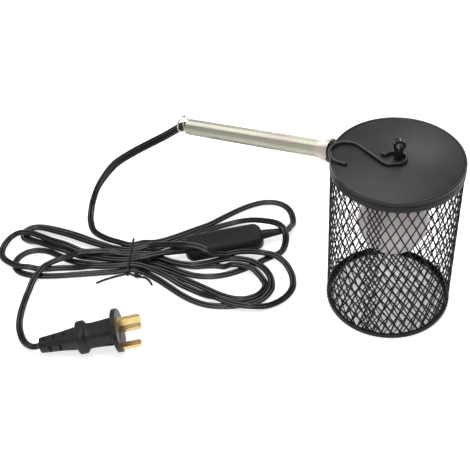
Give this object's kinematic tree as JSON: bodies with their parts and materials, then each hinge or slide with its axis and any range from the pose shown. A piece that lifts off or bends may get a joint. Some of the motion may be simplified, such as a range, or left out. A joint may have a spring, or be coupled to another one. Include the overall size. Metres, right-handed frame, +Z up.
{
  "type": "caged reptile heat lamp",
  "caption": "Hanging terrarium heat lamp: a mesh cage round a screw-in bulb, with a lift-off lid, an S hook, a spring cord guard, an in-line switch and a plug",
  "frame": {"origin": "middle of the cage's underside, where it stands on the table", "axes": "+Z up through the lid's centre, +X to the right, +Y away from the front"},
  "size_m": [0.4563, 0.2329, 0.192],
  "materials": {
    "coated_steel": "fine matte black powder coat",
    "lid_coat": "matte dark grey powder coat",
    "plated_steel": "plain plated steel",
    "zinc_wire": "yellow zinc plated spring wire",
    "brass": "satin",
    "porcelain": "glazed ceramic",
    "frosted_glass": "frosted glass with a faint pink tint",
    "cap_metal": "satin",
    "black_plastic": "moulded, lightly textured",
    "black_cord": "soft PVC jacket",
    "rocker_plastic": "smooth",
    "lead_jacket": "silicone sleeve",
    "fuse_body": "ceramic tube with end caps"
  },
  "bodies": {
    "cage": {"cage_mesh": "coated_steel", "cage_top_rim": "coated_steel", "cage_bottom_rim": "coated_steel", "cage_floor_mesh": "coated_steel", "cord_to_switch": "black_cord", "cord_to_plug": "black_cord", "twist_tie": "black_plastic", "switch_upper_shell": "black_plastic", "switch_lower_shell": "black_plastic", "switch_reliefs": "black_plastic", "switch_contacts": "brass", "switch_screws": "plated_steel", "plug_body": "black_plastic", "fuse_carrier": "black_plastic", "plug_fuse": "fuse_body", "pin_earth": "brass", "pin_live": "brass", "pin_neutral": "brass"},
    "lamp_head": {"lid": "lid_coat", "hanging_eye": "coated_steel", "lock_washer": "plated_steel", "eye_nut": "plated_steel", "socket_bracket": "plated_steel", "socket_body": "porcelain", "socket_screws": "plated_steel", "socket_shell": "brass", "socket_contact": "brass", "terminal_screws": "brass", "inner_leads": "lead_jacket", "gland_bracket": "plated_steel", "cord_gland": "black_plastic", "gland_nut": "black_plastic", "spring_guard": "zinc_wire", "cord_in_guard": "black_cord"},
    "bulb": {"bulb_globe": "frosted_glass", "bulb_cap": "cap_metal", "bulb_contact": "plated_steel", "filament_mount": "plated_steel"},
    "hook": {"s_hook": "coated_steel"},
    "rocker": {"switch_rocker": "rocker_plastic"}
  },
  "joints": [
    {"name": "head_lift", "type": "slide", "parent": "cage", "child": "lamp_head", "axis": [0, 0, 1], "range_m": [0, 0.11]},
    {"name": "bulb_turn", "type": "hinge", "parent": "lamp_head", "child": "bulb", "pos_m": [0, 0, 0.14], "axis": [0, 0, 1], "range_deg": [0, 1080]},
    {"name": "hook_turn", "type": "hinge", "parent": "lamp_head", "child": "hook", "pos_m": [0, 0, 0.1734], "axis": [0, 0, 1], "continuous": true},
    {"name": "rocker_tilt", "type": "hinge", "parent": "cage", "child": "rocker", "pos_m": [-0.159, 0.0778, 0.0062], "axis": [-0.1736, 0.9848, 0], "range_deg": [-12, 0]}
  ]
}
